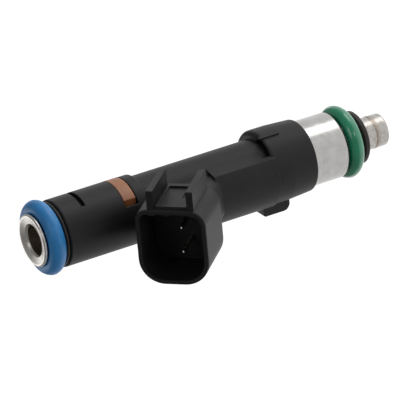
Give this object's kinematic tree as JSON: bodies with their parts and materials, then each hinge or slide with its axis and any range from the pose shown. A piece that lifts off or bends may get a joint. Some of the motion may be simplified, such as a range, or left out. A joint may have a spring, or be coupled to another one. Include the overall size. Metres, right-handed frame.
{
  "type": "fuel injector",
  "caption": "Port fuel injector with a steel inlet tube, coloured seal rings at both ends, a black plastic body, a tilted plug socket with guide rails and a slim steel nozzle.",
  "frame": {"origin": "centre of the lower seal ring, on the injector's axis", "axes": "+Z along the injector's axis towards the fuel inlet, -Y the way the connector leans out, +X the side of the connector that carries the lock"},
  "size_m": [0.0203, 0.032, 0.0777],
  "materials": {
    "stainless": "satin turned",
    "magnet_steel": "fine turned",
    "polished_steel": "polished",
    "spring_steel": "drawn wire",
    "brass": "satin",
    "copper": "enamelled wire",
    "tin": "tinned",
    "mesh": "woven",
    "black_plastic": "satin moulded, glass filled",
    "dark_plastic": "matte moulded",
    "amber_plastic": "moulded",
    "brown_plastic": "matte moulded",
    "blue_rubber": "satin moulded",
    "green_rubber": "glossy moulded"
  },
  "bodies": {
    "injector": {"inlet_tube": "stainless", "filter_ring": "brass", "filter_cage": "amber_plastic", "filter_mesh": "mesh", "upper_seal_ring": "blue_rubber", "upper_support_ring": "dark_plastic", "upper_sleeve": "black_plastic", "colour_insert": "brown_plastic", "body_moulding": "black_plastic", "terminal_left": "tin", "terminal_right": "tin", "terminal_carrier": "dark_plastic", "magnet_housing": "stainless", "flux_washer": "stainless", "coil_bobbin": "amber_plastic", "coil_winding": "copper", "valve_body": "stainless", "inner_pole": "magnet_steel", "adjusting_sleeve": "brass", "valve_seat": "stainless", "spray_plate": "stainless", "closing_spring": "spring_steel", "lower_seal_ring": "green_rubber", "lower_retainer": "dark_plastic"},
    "valve": {"armature": "magnet_steel", "valve_tube": "stainless", "valve_ball": "polished_steel"}
  },
  "joints": [
    {"name": "valve_lift", "type": "slide", "parent": "injector", "child": "valve", "axis": [0, 0, 1], "range_m": [0, 0.0001], "stiffness_N_per_m": 200, "springref_m": -0.0005, "deforming": ["closing_spring"]}
  ]
}
